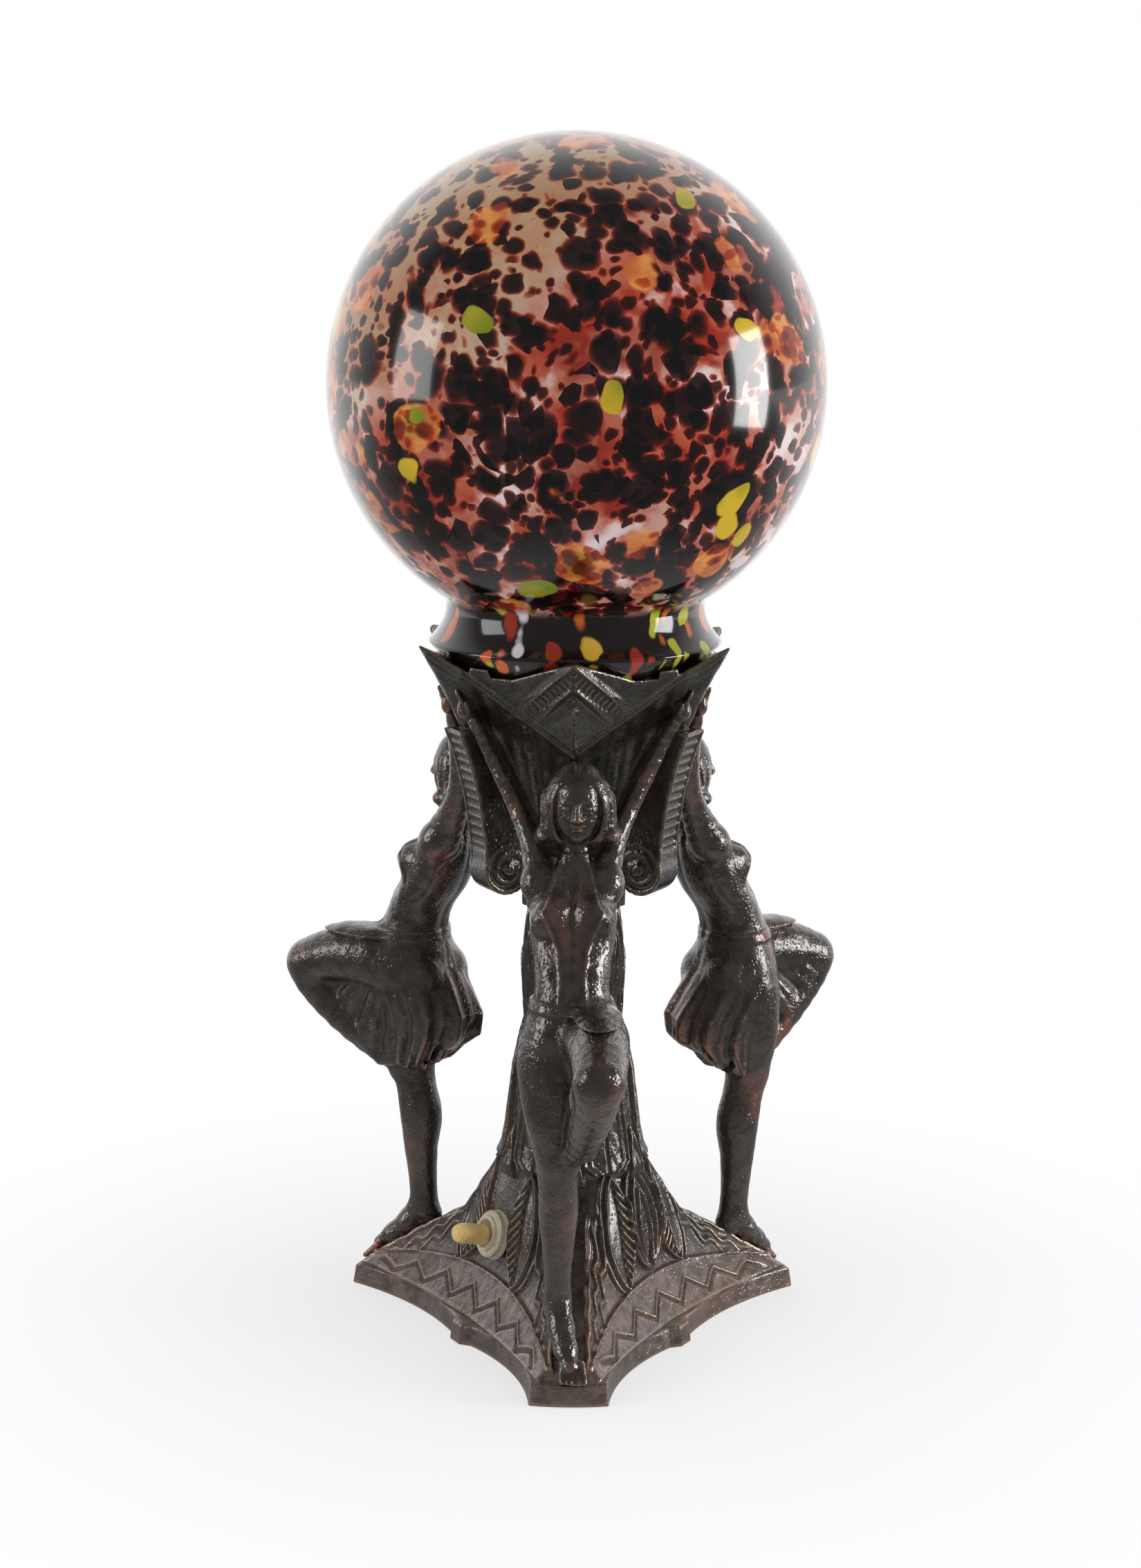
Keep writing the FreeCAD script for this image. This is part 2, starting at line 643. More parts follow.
# ---------------------------------------------------------------------------------------
# Leafy column
# ---------------------------------------------------------------------------------------
def column_profile(grow):
    """Outline of the column's core, or of its leaves when grown, as (radius, height)."""
    foot, height = size(COLUMN_FOOT), size("column_height")
    shares = [(0.00, "column_foot"), (0.12, "column_belly"), (0.24, "column_belly - 0.7"),
              (0.38, "column_belly - 2.4"), (0.49, "column_waist + 2"), (0.57, "column_waist"),
              (0.64, "column_waist + 0.4"), (0.74, "column_bud"), (0.88, "column_bud"),
              (1.00, "column_top")]
    return [(size(radius) + grow, foot + height * share) for share, radius in shares]


def column_turned(grow):
    points = [Vector(radius, 0, height) for radius, height in column_profile(grow)]
    points = [Vector(0, 0, points[0].z)] + points + [Vector(0, 0, points[-1].z)]
    return Part.Face(Part.makePolygon(points + [points[0]])).revolve(CENTRE, AXIS, 360)


def column_leaf(grown, direction, foot, belly, tip, half):
    """Pointed leaf: the grown column inside a leaf-shaped prism."""
    start = size("trunk_bore + 1.5")
    outline = Part.Wire([
        Part.Arc(Vector(start, -half * 0.55, foot), Vector(start, -half, belly),
                 Vector(start, 0, tip)).toShape(),
        Part.Arc(Vector(start, 0, tip), Vector(start, half, belly),
                 Vector(start, half * 0.55, foot)).toShape(),
        Part.makeLine(Vector(start, half * 0.55, foot), Vector(start, -half * 0.55, foot))])
    prism_shape = Part.Face(outline).extrude(Vector(30, 0, 0))
    return grown.common(turned(prism_shape, direction))


def leaf_column():
    foot, height = size(COLUMN_FOOT), size("column_height")
    grown = column_turned(size("leaf_proud"))
    shape = column_turned(0.0)
    leaves = []
    for k in range(6):
        direction = FRONT + 60 * k
        leaves.append(column_leaf(grown, direction + 30, foot, foot + height * 0.2,
                                  foot + height * 0.56, 8.6))
        leaves.append(column_leaf(grown, direction, foot + height * 0.54,
                                  foot + height * 0.76, foot + height - 0.2, 6.4))
    shape = shape.fuse(leaves)
    bore = Part.makeCylinder(size("trunk_bore"), height - 6, Vector(0, 0, foot + 6))
    hole = Part.makeCylinder(size("rod_radius + rod_gap"), height, Vector(0, 0, foot))
    return one_solid(shape.cut([bore, hole]))


feature("leaf_column", leaf_column())


# ---------------------------------------------------------------------------------------
# Cup casting: hexagonal cup with horns, V panels, ribbed consoles and scrolls
# ---------------------------------------------------------------------------------------
def cup_points(direction_is_horn):
    """Top, middle and foot points of a horn's keel, or of the web under a panel's point."""
    tips, foot = size(TIPS), size(CUP_FOOT)
    if direction_is_horn:
        return (Vector(size("horn_reach"), 0, tips),
                Vector(size("horn_hollow"), 0, tips - 33.0),
                Vector(size("keel_reach"), 0, foot + size("trunk_height")))
    point = tips - size("panel_height")
    return (Vector(size("panel_reach"), 0, point), Vector(size("web_hollow"), 0, point - 14.0),
            Vector(size("trunk_radius") + 0.5, 0, foot + size("trunk_height")))


def cup_body():
    """Closed shell of six panel facets, six ruled webs, a top and a foot."""
    tips = size(TIPS)
    faces, foot_points = [], []
    for k in range(6):
        horn = HORN_DIRECTIONS[0] + 60 * k if k % 2 == 0 else HORN_DIRECTIONS[0] + 60 * (k + 1)
        crease = HORN_DIRECTIONS[0] + 60 * (k + 1) if k % 2 == 0 else HORN_DIRECTIONS[0] + 60 * k
        keel = [turned_point(p, horn) for p in cup_points(True)]
        web = [turned_point(p, crease) for p in cup_points(False)]
        gable = local(size("crease_reach"), 0, tips, crease)
        faces.append(Part.Face(Part.makePolygon([keel[0], gable, web[0], keel[0]])))
        faces.append(Part.makeRuledSurface(Part.Arc(*keel).toShape(), Part.Arc(*web).toShape()))
        faces.append(Part.Face(Part.makePolygon([Vector(0, 0, tips), keel[0], gable,
                                                 Vector(0, 0, tips)])))
        faces.append(Part.Face(Part.makePolygon([Vector(0, 0, web[2].z), keel[2], web[2],
                                                 Vector(0, 0, web[2].z)])))
    shell = Part.makeShell(faces)
    shell.sewShape()
    solid = Part.makeSolid(shell)
    if solid.Volume < 0:
        solid.reverse()
    return solid


def turned_point(point, direction):
    return local(point.x, point.y, point.z, direction)


def rim_notch(direction, horn_first):
    """Prism that lowers the rim between a horn and a gable, with a flat step in its middle."""
    tips = size(TIPS)
    low, gable = tips - size("rim_dip"), tips - size("crease_drop")
    horn_side, crease_side = size("horn_reach / 2 + 0.2"), size("crease_reach / 2 + 0.1")
    ends = [(-horn_side, tips + 0.05), (-7.0, low + 1.2), (-7.0, low + 2.6), (-1.0, low + 2.6),
            (-1.0, low), (5.0, low), (crease_side, gable), (crease_side, tips + 6),
            (-horn_side, tips + 6)]
    if not horn_first:
        ends = [(-side, height) for side, height in ends]
    points = [Vector(24, side, height) for side, height in ends]
    return turned(slab(points, Vector(40, 0, 0)), direction)


def panel_point(along_crease, along_border, mirror):
    """Point on a panel's facet: shares of the crease and of the border from the V's point."""
    tips = size(TIPS)
    foot = Vector(size("panel_reach"), 0, tips - size("panel_height"))
    gable = Vector(size("crease_reach"), 0, tips)
    horn = local(size("horn_reach"), 0, tips, 60.0 * mirror)
    return foot + (gable - foot) * along_crease + (horn - foot) * along_border


def panel_plate(corners, mirror):
    """Raised plate with the given corners on one facet of a panel."""
    points = [panel_point(a, b, mirror) for a, b in corners]
    edge, other = points[1] - points[0], points[2] - points[0]
    outward = edge.cross(other).normalize()
    if outward.x < 0:
        outward = outward * -1
    sunk = [p - outward * 0.6 for p in points]
    return slab(sunk, outward * (size("relief") + 0.6))


def panel_relief():
    """Chevron, pyramid and border bands on the panel that faces +X."""
    chevron = [(0.93, 0.0), (0.075, 0.36), (0.075, 0.265), (0.71, 0.0)]
    pyramid = [(0.64, 0.0), (0.08, 0.225), (0.09, 0.0)]
    border = [(0.0, 0.0), (0.0, 0.95), (0.05, 0.90), (0.05, 0.0)]
    plates = []
    for mirror in (-1, 1):
        for corners in (chevron, pyramid, border):
            plates.append(panel_plate(corners, mirror))
    return plates


def console():
    """Ribbed console with its scroll, facing +X."""
    foot, half = size(CUP_FOOT), size("console_half")
    scroll = Vector(size("scroll_reach"), -half, foot + size("scroll_height"))
    top = foot + size("console_height")
    face_foot = Vector(size("console_reach"), -half, scroll.z + 2)
    face_top = Vector(size("console_top"), -half, top)
    middle = (face_foot + face_top) * 0.5 + Vector(-1.2, 0, 0)
    inner_top = Vector(size("console_top") - 12, -half, top)
    inner_foot = Vector(size("trunk_radius") - 3, -half, scroll.z)
    outline = Part.Wire([Part.Arc(face_foot, middle, face_top).toShape(),
                         Part.makeLine(face_top, inner_top),
                         Part.makeLine(inner_top, inner_foot),
                         Part.makeLine(inner_foot, face_foot)])
    body = Part.Face(outline).extrude(Vector(0, 2 * half, 0))
    coil = Part.makeCylinder(size("scroll_radius"), 2 * half, scroll, Vector(0, 1, 0))
    eye = Part.makeCylinder(2.2, 2 * half + 1.6, scroll - Vector(0, 0.8, 0), Vector(0, 1, 0))
    channel = Part.makeCylinder(size("scroll_radius") - 2.0, 0.8, scroll, Vector(0, 1, 0))
    far_channel = channel.translated(Vector(0, 2 * half - 0.8, 0))
    inner_turn = Part.makeCylinder(4.4, 2 * half, scroll, Vector(0, 1, 0))
    coil = coil.cut([channel, far_channel]).fuse([inner_turn, eye])
    return body.fuse(coil).cut(console_grooves(face_foot, middle, face_top))


def console_grooves(low, middle, high):
    """Square grooves across the console's ribbed face, evenly spaced up its curve."""
    curve = Part.Arc(low, middle, high)
    length = curve.length()
    count = int((length - 6) / size("rib_pitch"))
    half, grooves = size("console_half"), []
    for k in range(count):
        share = (4 + k * size("rib_pitch")) / length
        first, last = curve.FirstParameter, curve.LastParameter
        spot = curve.value(first + (last - first) * share)
        start = Vector(spot.x - size("rib_groove"), -(half - 1.4), spot.z)
        grooves.append(Part.makeBox(6, 2 * (half - 1.4), size("rib_pitch") * 0.45, start))
    return grooves


def revolved_tool(points):
    """Solid of revolution from (radius, height) corners, used to cut."""
    corners = [Vector(radius, 0, height) for radius, height in points]
    return Part.Face(Part.makePolygon(corners + [corners[0]])).revolve(CENTRE, AXIS, 360)


def collar_radius(height):
    """Outside radius of the glass collar's cone at a height between its foot and its lip."""
    foot, lip = size("collar_foot"), size("collar_lip")
    return foot + (lip - foot) * height / size("collar_lip_height")


def cup_cavity():
    """Room for the collar, the ledge, the bowl and its floor."""
    ledge, gap, seat = size(LEDGE), size("glass_gap"), size(COLLAR_FOOT)
    wall = [(collar_radius(height) + gap, seat + height)
            for height in (0.0, size("collar_lip_height"))]
    over = wall[-1][0] + 0.2
    points = [(0, size(CUP_FLOOR)), (size("bowl_radius"), size(CUP_FLOOR)),
              (size("ledge_inner"), ledge), (wall[0][0], ledge)]
    points += wall + [(over, size(TIPS) + 8), (0, size(TIPS) + 8)]
    return revolved_tool(points)


def cup_casting():
    foot = size(CUP_FOOT)
    trunk = Part.makeCylinder(size("trunk_radius"), size("trunk_height") + 1, Vector(0, 0, foot))
    shape = cup_body().fuse([trunk] + around(console(), HORN_DIRECTIONS))
    notches = []
    for direction in FIGURE_DIRECTIONS:
        notches.append(rim_notch(direction - 30, True))
        notches.append(rim_notch(direction + 30, False))
    plates = []
    for plate in panel_relief():
        plates += around(plate)
    shape = shape.fuse(plates).cut(notches)
    hollow_top = size("(mound_height + column_height + cup_floor) - floor_thick")
    bore = Part.makeCylinder(size("trunk_bore"), hollow_top - foot, Vector(0, 0, foot))
    hole = Part.makeCylinder(size("rod_radius + rod_gap"), 100, Vector(0, 0, foot))
    return one_solid(shape.cut([cup_cavity(), bore, hole]))


cup = cup_casting()
feature("cup_casting", cup)


# ---------------------------------------------------------------------------------------
# Figures: one sculpt, cast three times
# ---------------------------------------------------------------------------------------
POSED_FOOT = Vector(64.0, 0.0, 15.833)
POSED_HAND = Vector(25.73, 34.57, 209.0)


def hand_place():
    """The hand under the horn to a figure's left, in the figure's own frame."""
    reach, side = size("hand_reach"), size("hand_side")
    place = local(reach, -side, size(TIPS) - size("hand_drop"), 60.0)
    return place


def posed(reach, side, height):
    """Point of the sculpt, moved with its foot and its hands.

    The sculpt is drawn for one foot and one pair of hands. When the base or the cup changes,
    each point follows the foot and the hands in proportion to its height between them.
    """
    share = (height - POSED_FOOT.z) / (POSED_HAND.z - POSED_FOOT.z)
    peg = size("figure_peg_reach")
    foot = Vector(peg, 0, sole_height(peg)) - POSED_FOOT
    hand = hand_place() - POSED_HAND
    spread = hand.y * max(0.0, (share - 0.7) / 0.3)
    moved = foot * (1 - share) + Vector(hand.x, 0, hand.z) * share
    outward = spread * (1 if side > 0 else -1) if abs(side) > 9 else 0.0
    return Vector(reach, side, height) + moved + Vector(0, outward, 0)


def stations(rows):
    """Rows of reach, side, height, half depth and half width as stations of a limb."""
    return [(posed(r, s, h), depth, width) for r, s, h, depth, width in rows]


def trunk_and_standing_leg():
    return limb(stations([
        (43.0, 1.0, 171, 4.8, 4.8), (43.6, 1.0, 165, 4.8, 5.0), (46.0, 0.7, 160.5, 6.0, 8.0),
        (47.6, 0.4, 156, 8.6, 13.0), (50.0, 0.3, 149.5, 12.0, 14.2), (53.5, 0.3, 140, 12.2, 13.6),
        (60.5, 0.1, 128.5, 11.4, 11.4), (62.0, 0.0, 121, 12.0, 12.8),
        (62.6, -0.5, 111, 13.2, 16.0), (64.0, -3.5, 100, 11.4, 12.6),
        (65.0, -5.2, 88, 9.2, 9.2), (64.6, -4.0, 75, 7.4, 7.0), (63.6, -3.8, 67, 6.6, 6.2),
        (62.6, -3.7, 58, 6.9, 6.5), (61.8, -3.7, 46, 5.6, 5.2), (61.4, -3.8, 36, 4.4, 4.0),
        (60.4, -3.7, 25, 5.0, 4.2)]), 12)


def standing_foot():
    path = [(54.4, -4.1, 24.4, 2.8, 3.0), (57.0, -4.0, 24.0, 5.2, 4.0),
            (62.0, -3.2, 23.2, 6.6, 4.4), (67.0, -2.0, 19.2, 4.8, 4.3),
            (73.0, -0.4, 12.9, 3.4, 4.9), (78.0, 0.8, 8.9, 2.2, 4.6), (79.6, 1.1, 7.8, 1.1, 3.0)]
    return limb(stations(path), 10)


def raised_leg():
    thigh = limb(stations([
        (60.0, 5.2, 112, 11.0, 10.5), (70.0, 7.4, 114.6, 10.4, 9.8),
        (80.0, 8.3, 114.6, 9.4, 9.2), (90.0, 8.7, 112.4, 8.6, 8.4),
        (97.0, 8.7, 109.9, 7.9, 7.6), (101.5, 8.7, 108.2, 6.2, 6.0)]), 10)
    knee = ball(posed(98.4, 8.6, 109.4), 7.9)
    shin = limb(stations([
        (99.0, 8.5, 110.0, 7.0, 6.6), (96.6, 8.2, 102.5, 6.8, 6.5), (92.2, 7.4, 95.5, 6.2, 6.2),
        (84.8, 5.6, 86.2, 5.1, 5.2), (77.0, 3.2, 77.3, 4.0, 4.2), (72.6, 1.4, 71.5, 3.5, 3.6),
        (69.5, 0.2, 66.5, 2.4, 2.8)]), 10)
    return [thigh, knee, shin]


def arm(sign):
    """Raised arm and hand, to the figure's left for sign 1."""
    rows = [(45.0, 10.2, 156.0, 6.4, 6.4), (41.2, 11.2, 163.0, 5.2, 5.0),
            (36.6, 13.2, 169.5, 4.4, 4.4), (31.7, 17.6, 178.5, 3.8, 3.8),
            (28.6, 22.9, 188.5, 3.4, 3.4), (26.4, 28.9, 200.0, 2.9, 2.9),
            (25.8, 32.0, 204.8, 2.5, 2.7), (25.7, 33.7, 207.6, 3.1, 3.7),
            (25.7, 34.9, 210.4, 2.8, 3.5), (26.0, 35.8, 213.6, 1.6, 2.4)]
    return limb(stations([(r, s * sign, h, a, b) for r, s, h, a, b in rows]), 8)


def skirt():
    """Cloth that hangs from the waist and stands out behind, cut off along its hem."""
    cloth = limb(stations([
        (61.0, 0.1, 123, 12.6, 12.6), (60.3, 0.2, 112, 14.6, 16.0), (57.0, 0.0, 103, 17.2, 15.6),
        (54.4, 0.0, 97, 18.2, 15.0), (53.8, -0.6, 89, 16.6, 13.6), (58.0, -2.2, 76, 9.4, 9.6)]),
        12, Vector(0, 1, 0), AXIS)
    hem = slab([posed(25, -30, 90.0), posed(38, -30, 90.0), posed(57, -30, 77.6),
                posed(90, -30, 76.0), posed(90, -30, 60.0), posed(25, -30, 60.0)],
               Vector(0, 60, 0))
    return cloth.cut(hem)


def drapery():
    """Cloth stretched between the raised thigh and its shin, with pressed folds across it."""
    outline = [(62.0, 113.0), (80.0, 112.5), (97.0, 107.0), (90.0, 92.0), (78.0, 80.0),
               (66.0, 84.0)]
    cloth = slab([posed(reach, 3.2, height) for reach, height in outline], Vector(0, 4.6, 0))
    folds = []
    for upper, lower in (((68, 111), (67, 85)), ((77, 110), (72, 82)), ((86, 108), (78, 83))):
        folds.append(limb([(posed(upper[0], 5.4, upper[1]), 1.6, 3.6),
                           (posed(lower[0], 4.6, lower[1]), 1.2, 3.4)], 6))
    return [cloth] + folds


def bust():
    return [egg(posed(56.2, 6.3 * sign, 149.2), 6.8, 6.6, 6.8, 10) for sign in (-1, 1)]


def head():
    """Plain oval head with a bobbed cap of hair and the start of a nose and a chin."""
    face = egg(posed(44.6, 1.4, 179.0), 7.2, 8.0, 9.6, 12)
    nose = limb([(posed(50.6, 1.4, 182.0), 0.9, 0.8), (posed(52.0, 1.4, 177.6), 1.3, 1.3)], 6,
                Vector(0, 1, 0), AXIS)
    hair = limb(stations([
        (40.5, 1.5, 194.0, 3.4, 4.2), (40.4, 1.5, 192.4, 7.0, 8.2), (40.0, 1.5, 189.0, 9.8, 11.0),
        (39.4, 1.5, 183.5, 10.8, 12.6), (38.4, 1.5, 177.0, 9.6, 13.0),
        (38.2, 1.5, 172.0, 8.8, 13.6), (38.2, 1.5, 169.0, 7.0, 12.0)]), 12,
        Vector(0, 1, 0), AXIS)
    return [face, nose, hair]


def figure_shape():
    shape = trunk_and_standing_leg()
    others = [standing_foot()] + raised_leg() + [arm(-1), arm(1), skirt()]
    others += drapery() + bust() + head()
    shape = shape.fuse(others)
    start = ridge_at(0.0)
    under = slab([Vector(start, -30, 0), Vector(ridge_at(60.0), -30, 60.0),
                  Vector(ridge_at(60.0) - 60, -30, 60.0), Vector(-10, -30, 0)], Vector(0, 60, 0))
    nearby = Part.makeBox(60, 60, 50, Vector(30, -30, -1))
    sole = under.common(nearby)
    hole = peg_at(size("peg_radius"), 0.0, peg_top)
    return one_solid(shape.cut([sole, turned(cup, -FRONT), hole]))


figure = figure_shape()
for name, direction in zip(("figure_front", "figure_right", "figure_left"), FIGURE_DIRECTIONS):
    feature(name, turned(figure, direction))

# ---------------------------------------------------------------------------------------
# Tube, washers and nuts on the lamp's axis
# ---------------------------------------------------------------------------------------
ring("lamp_tube", "rod_radius", "rod_bore", "%s + cap_hub_height - %s" % (CAP_FOOT, ROD_FOOT),
     ROD_FOOT)
ring("lower_washer", "washer_radius", "rod_radius", "washer_thick",
     "%s - washer_thick" % DECK_UNDER)
hex_nut("lower_nut", "nut_flats", "rod_radius", "nut_height",
        "%s - washer_thick - nut_height" % DECK_UNDER)
ring("upper_washer", "washer_radius", "rod_radius", "washer_thick", CUP_FLOOR)
hex_nut("upper_nut", "nut_flats", "rod_radius", "nut_height", "%s + washer_thick" % CUP_FLOOR)

# ---------------------------------------------------------------------------------------
# Globe and its cork ring
# ---------------------------------------------------------------------------------------
ring("cork_ring", "collar_foot + 0.3", "ledge_inner + 0.4", "ring_thick", LEDGE)

GLOBE_RADIUS = "(globe_diameter / 2)"
SPHERE_START = "(neck_radius + 0.7)"
GLOBE_CENTRE = "(%s + 1.5 + sqrt(%s^2 - %s^2))" % (NECK, GLOBE_RADIUS, SPHERE_START)
INNER_RADIUS = "(%s - globe_wall)" % GLOBE_RADIUS
INNER_START = "(neck_radius - globe_wall + 0.6)"
LIP = "(%s + collar_lip_height)" % COLLAR_FOOT
revolved("globe_glass", [
    ("collar_foot", COLLAR_FOOT, None),
    ("collar_lip - 0.3", "%s - 1" % LIP, "1.6"),
    ("collar_lip - 0.5", "%s + 0.9" % LIP, "0 - collar_flare"),
    ("neck_radius", NECK, None),
    (SPHERE_START, "%s + 1.5" % NECK, GLOBE_RADIUS),
    ("0", "%s + %s" % (GLOBE_CENTRE, GLOBE_RADIUS), None),
    ("0", "%s + %s" % (GLOBE_CENTRE, INNER_RADIUS), "0 - %s" % INNER_RADIUS),
    (INNER_START, "%s - sqrt(%s^2 - %s^2)" % (GLOBE_CENTRE, INNER_RADIUS, INNER_START), None),
    ("neck_radius - globe_wall", NECK, "collar_flare"),
    ("collar_lip - globe_wall - 0.8", LIP, None),
    ("collar_foot - globe_wall", COLLAR_FOOT, None)])

# ---------------------------------------------------------------------------------------
# Lampholder
# ---------------------------------------------------------------------------------------
revolved("holder_cap", [
    ("rod_radius", CAP_FOOT, None), ("cap_hub", CAP_FOOT, None),
    ("cap_hub", "%s + cap_hub_height - 2" % CAP_FOOT, None),
    ("cap_radius", "%s - 2" % CORE_FOOT, None), ("cap_radius", "%s + 4" % CORE_FOOT, None),
    ("cap_radius - sheet_wall", "%s + 4" % CORE_FOOT, None),
    ("cap_radius - sheet_wall", "%s - 1.6" % CORE_FOOT, None),
    ("cap_hub - 0.6", "%s + cap_hub_height" % CAP_FOOT, None),
    ("rod_radius", "%s + cap_hub_height" % CAP_FOOT, None)])
ring("holder_sleeve", "cap_radius - 0.2", "cap_radius - 1.1", "sleeve_height",
     "%s + 4" % CORE_FOOT)
core_body = cylinder("core_body", "cap_radius - sheet_wall - 0.3", "core_height", CORE_FOOT)
core_hole = cylinder("core_hole", "rod_bore", "core_height", CORE_FOOT)
core_hole.setExpression("Placement.Base.x", bound("cap_radius / 2"))
core_pocket = cylinder("core_pocket", "contact_radius + 0.2", "3", CONTACT_FOOT)
core_drilled = cut("core_drilled", core_body, core_hole)
core_seat = cylinder("core_seat", "screw_radius + screw_wall", "2", SCREW_FOOT)
core_recess = ring("holder_shell", "screw_radius + screw_wall", "screw_radius", "screw_height",
                   SCREW_FOOT)
core_with_pocket = cut("core_with_pocket", core_drilled, core_pocket)
keep(cut("holder_core", core_with_pocket, core_seat), "holder_core")
keep(cylinder("holder_contact", "contact_radius", "contact_height", CONTACT_FOOT),
     "holder_contact")

# ---------------------------------------------------------------------------------------
# Bulb
# ---------------------------------------------------------------------------------------
BULB_CAP = "(%s + 2)" % BULB_FOOT
BULB_NECK = "(%s + 2 + bulb_cap_height)" % BULB_FOOT
BULB_CENTRE = "(%s + bulb_rise)" % BULB_NECK
NECK_JOIN = "(%s - sqrt(bulb_radius^2 - bulb_neck^2))" % BULB_CENTRE
keep(cylinder("bulb_contact", "contact_radius", "2", BULB_FOOT), "bulb_contact")
revolved("bulb_cap", [
    ("0", BULB_CAP, None), ("contact_radius + 1", BULB_CAP, None),
    ("bulb_cap_radius", "%s + 6" % BULB_CAP, None),
    ("bulb_cap_radius", BULB_NECK, None), ("bulb_neck", BULB_NECK, None),
    ("bulb_neck", "%s + 7" % BULB_CAP, None), ("0", "%s + 7" % BULB_CAP, None)])
revolved("bulb_glass", [
    ("bulb_neck", "%s - 4" % BULB_NECK, None), ("bulb_neck", NECK_JOIN, "bulb_radius"),
    ("bulb_radius", BULB_CENTRE, "bulb_radius"),
    ("0", "%s + bulb_radius" % BULB_CENTRE, None),
    ("0", "%s + bulb_radius - bulb_wall" % BULB_CENTRE, "0 - (bulb_radius - bulb_wall)"),
    ("bulb_radius - bulb_wall", BULB_CENTRE, "0 - (bulb_radius - bulb_wall)"),
    ("bulb_neck - bulb_wall", NECK_JOIN, None),
    ("bulb_neck - bulb_wall", "%s - 4" % BULB_NECK, None)])


# ---------------------------------------------------------------------------------------
# Toggle switch
# ---------------------------------------------------------------------------------------
def switch_turned(corners):
    """Solid of revolution about the switch's axis, from (radius, distance out) corners."""
    points = [switch_place(out, radius) for radius, out in corners]
    face = Part.Face(Part.makePolygon(points + [points[0]]))
    return face.revolve(switch_place(0), SWITCH_OUT, 360)


def switch_hexagon(flats, inner, outer):
    points = []
    for k in range(6):
        angle = math.radians(60 * k)
        radius = flats / math.sqrt(3)
        points.append(switch_place(inner, radius * math.cos(angle), radius * math.sin(angle)))
    return slab(points, SWITCH_OUT * (outer - inner))


def swung(shape, degrees):
    """Copy of a shape turned about the lever's pin."""
    copy = shape.copy()
    copy.rotate(switch_place(-size("pivot_depth")), SWITCH_UP, degrees)
    return copy


washer_out = size("dress_washer_thick")
nut_out = washer_out + size("dress_nut_height")
seat_in = size("boss_depth")
body_front = seat_in + size("back_nut_height")
body_back = body_front + size("housing_length")
pivot = size("pivot_depth")
bush = size("bush_radius")

feature("switch_dress_washer", switch_turned([
    (bush, 0), (size("dress_washer"), 0), (size("dress_washer") - 0.4, washer_out),
    (bush, washer_out)]))
feature("switch_dress_nut", switch_turned([
    (bush, washer_out), (size("dress_nut"), washer_out), (size("dress_nut"), nut_out - 0.7),
    (size("dress_nut") - 0.7, nut_out), (bush, nut_out)]))
back_nut = switch_hexagon(size("back_nut_flats"), -body_front, -seat_in)
feature("switch_back_nut", back_nut.cut(switch_rod(bush, -body_front, -seat_in)))

pin = Part.makeCylinder(size("pivot_radius"), 2 * bush - 1.0,
                        switch_place(-pivot, 0, -(bush - 0.5)), SWITCH_UP)
bush_shape = switch_turned([
    (size("lever_neck + 0.9"), -pivot - 1.5), (size("lever_neck + 0.9"), -pivot + 1.5),
    (size("bush_bore"), size("bush_out") - 0.4), (size("bush_bore + 0.3"), size("bush_out")),
    (bush - 0.3, size("bush_out")), (bush, size("bush_out") - 0.4), (bush, -body_front),
    (size("bush_bore"), -body_front), (size("bush_bore"), -pivot - 3.0)])
feature("switch_bush", bush_shape.cut(pin))
feature("switch_pivot_pin", pin)

lever_out, tail = size("lever_out"), pivot + size("tail_length")
handle = size("lever_radius")
lever_corners = [(0, -tail), (size("tail_radius"), -tail), (size("tail_radius"), -pivot - 2.0),
                 (size("lever_neck"), -pivot - 1.0), (size("lever_neck"), size("bush_out") + 1.2),
                 (handle, size("bush_out") + 2.0), (handle, lever_out - 2.4),
                 (handle * 0.8, lever_out - 0.8), (handle * 0.4, lever_out - 0.1),
                 (0, lever_out)]
lever = switch_turned(lever_corners)
hole_for_pin = Part.makeCylinder(size("pivot_radius") + 0.05, 2 * bush,
                                 switch_place(-pivot, 0, -bush), SWITCH_UP)
feature("switch_lever", swung(lever.cut(hole_for_pin), size("lever_swing")))

wall = size("housing_wall")
housing = size("housing_radius")
feature("switch_housing", switch_turned([
    (size("bush_bore"), -body_front), (housing, -body_front), (housing, -body_back),
    (0, -body_back), (0, -body_back + wall), (housing - wall, -body_back + wall),
    (housing - wall, -body_front - wall), (size("bush_bore"), -body_front - wall)]))

rocker_pivot = tail + size("tail_length") - 0.1
rocker_half = 2.6


def rocker_shape():
    """Moving contact carrier: a forked arm on its own pin, driven by the lever's tail."""
    points = [switch_place(-tail + 0.9, -rocker_half, -1.6),
              switch_place(-tail + 0.9, rocker_half, -1.6),
              switch_place(-rocker_pivot - 1.2, rocker_half, -1.6),
              switch_place(-rocker_pivot - 1.2, -rocker_half, -1.6)]
    body = slab(points, SWITCH_UP * 3.2)
    half = size("tail_radius") + 0.5
    slot_points = [switch_place(-tail + 2, -half, -3), switch_place(-tail + 2, half, -3),
                   switch_place(-tail - 1.4, half, -3), switch_place(-tail - 1.4, -half, -3)]
    slot = slab(slot_points, SWITCH_UP * 6)
    pin_hole = Part.makeCylinder(0.75, 8, switch_place(-rocker_pivot, 0, -4), SWITCH_UP)
    copy = body.cut([slot, pin_hole])
    copy.rotate(switch_place(-rocker_pivot), SWITCH_UP, -size("lever_swing"))
    return copy


feature("switch_rocker", rocker_shape())
rocker_pin_reach = math.sqrt(max((housing - wall) ** 2, 1.0)) - 0.05
feature("switch_rocker_pin", Part.makeCylinder(
    0.7, 2 * rocker_pin_reach, switch_place(-rocker_pivot, 0, -rocker_pin_reach), SWITCH_UP))


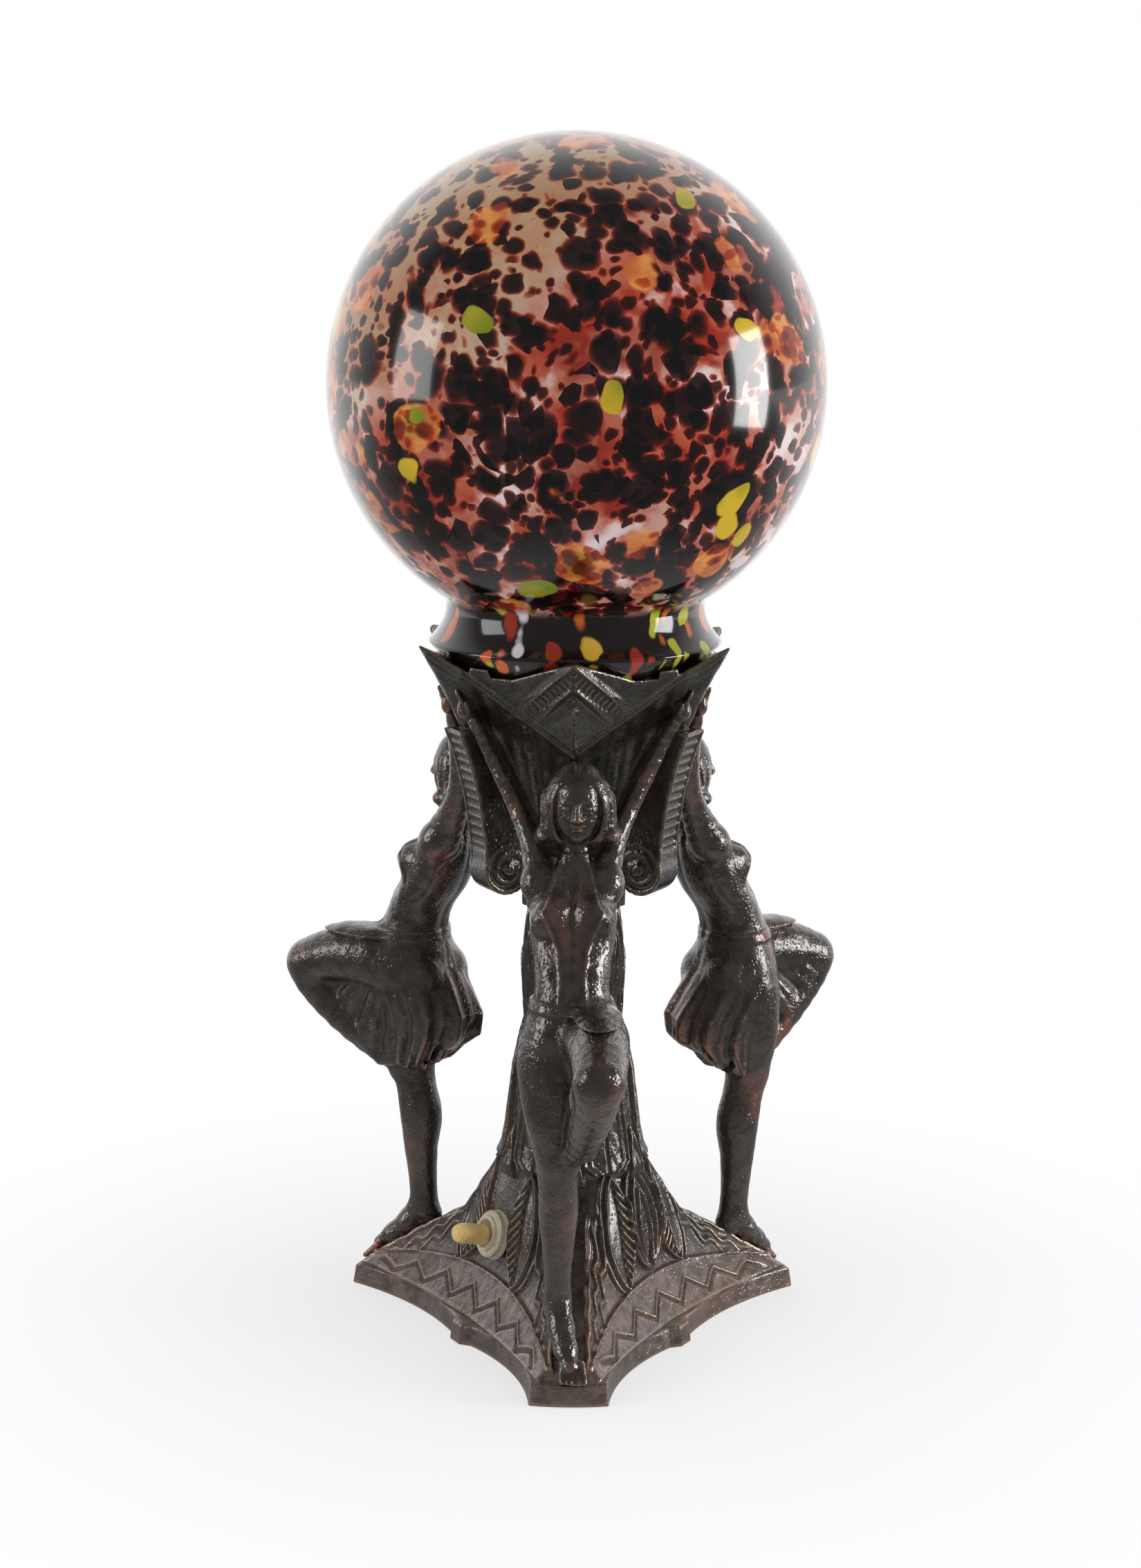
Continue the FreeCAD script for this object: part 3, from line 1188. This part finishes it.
def terminal(side):
    """Blade through the housing's back with a screw head on its outer end."""
    corner = switch_place(-body_back - 3.0, side - 0.5, -1.5)
    blade = slab([corner, corner + SWITCH_SIDE * 1.0, corner + SWITCH_SIDE * 1.0 + SWITCH_UP * 3,
                  corner + SWITCH_UP * 3], SWITCH_OUT * 3.0)
    return blade


feature("switch_terminals", Part.makeCompound([terminal(-4.0), terminal(4.0)]))


# ---------------------------------------------------------------------------------------
# Cord inlet, connector block and inner leads
# ---------------------------------------------------------------------------------------
def inlet_bush():
    """Bush in the back of the base, with its flange on the spot face round its hole."""
    face = inlet_seat() + INLET_STEP
    outer, flange = "inlet_bore + inlet_wall", "inlet_bore + inlet_wall + inlet_flange"
    tube = inlet_cylinder(outer, face - 13.0, face)
    collar = inlet_cylinder(flange, face, face + size("inlet_flange"))
    bore = inlet_cylinder("inlet_bore", face - 14.0, face + 6.0)
    return one_solid(tube.fuse(collar).cut(bore))


feature("inlet_bush", inlet_bush())


def connector_block():
    """Two-pole connector block that stands on the closing board."""
    length, width, height = size("block_length"), size("block_width"), size("block_height")
    corner = Vector(-length / 2, 4.0, size("pad_thick"))
    body = Part.makeBox(length, width, height, corner)
    holes = []
    for side in (-1, 1):
        x = side * length / 4
        holes.append(Part.makeCylinder(1.4, width + 2, Vector(x, 3.0, corner.z + height / 2),
                                       Vector(0, 1, 0)))
        holes.append(Part.makeCylinder(1.6, 3.0, Vector(x, 4.0 + width / 2, corner.z + height - 3)))
    return body.cut(holes)


feature("connector_block", connector_block())


def lead(points):
    """Insulated lead along straight runs joined by tangent arcs."""
    edges, start = [], points[0]
    for index in range(1, len(points) - 1):
        corner, before, after = points[index], points[index - 1], points[index + 1]
        inward, outward = (before - corner), (after - corner)
        shorter = min(inward.Length, outward.Length)
        turn = math.pi - inward.getAngle(outward)
        setback = 0.45 * shorter
        radius = setback / math.tan(turn / 2)
        first = corner + inward.normalize() * setback
        last = corner + outward.normalize() * setback
        bisector = (inward + outward).normalize()
        middle = corner + bisector * (radius / math.cos(turn / 2) - radius)
        edges.append(Part.makeLine(start, first))
        edges.append(Part.Arc(first, middle, last).toShape())
        start = last
    edges.append(Part.makeLine(start, points[-1]))
    path = Part.Wire(edges)
    heading = points[1] - points[0]
    section = Part.Wire(Part.makeCircle(size("lead_radius"), points[0], heading))
    return path.makePipeShell([section], True, False)


block_face = 4.0
block_z = size("pad_thick") + size("block_height") / 2
holder_floor = size(CORE_FOOT)
feature("lead_switched", lead([
    switch_place(-body_back - 3.1, 4.0, 0), switch_place(-body_back - 9.0, 4.0, 0),
    Vector(0.6, -1.9, size(ROD_FOOT) - 4.0), Vector(0.0, -1.6, size(ROD_FOOT) + 12.0),
    Vector(0.0, -1.6, holder_floor - 6.0), Vector(0.0, -9.0, holder_floor - 1.2)]))
feature("lead_neutral", lead([
    Vector(4.0, block_face - 0.1, block_z), Vector(4.0, 0.0, block_z),
    Vector(5.5, 1.5, block_z + 17.0), Vector(0.8, 2.0, size(ROD_FOOT) - 4.0),
    Vector(0.0, 1.6, size(ROD_FOOT) + 12.0), Vector(0.0, 1.6, holder_floor - 6.0),
    Vector(0.0, 9.0, holder_floor - 1.2)]))
feature("lead_live", lead([
    Vector(-4.0, block_face - 0.1, block_z), Vector(-4.0, 0.0, block_z),
    switch_place(-body_back - 8.5, -4.0, 0), switch_place(-body_back - 3.1, -4.0, 0)]))

# ---------------------------------------------------------------------------------------
# Check and export
# ---------------------------------------------------------------------------------------
doc.recompute()
for item in doc.Objects:
    if "Invalid" in item.State or "Error" in item.State:
        raise ValueError("%s is %s" % (item.Label, item.State))
os.makedirs("parts", exist_ok=True)
for item in pieces:
    if item.Shape.isNull() or not item.Shape.isValid():
        raise ValueError("%s has no valid shape" % item.Label)
    item.Shape.exportStep("parts/%s.step" % item.Label)
    print("%-22s solids %d volume %.1f" % (item.Label, len(item.Shape.Solids), item.Shape.Volume))
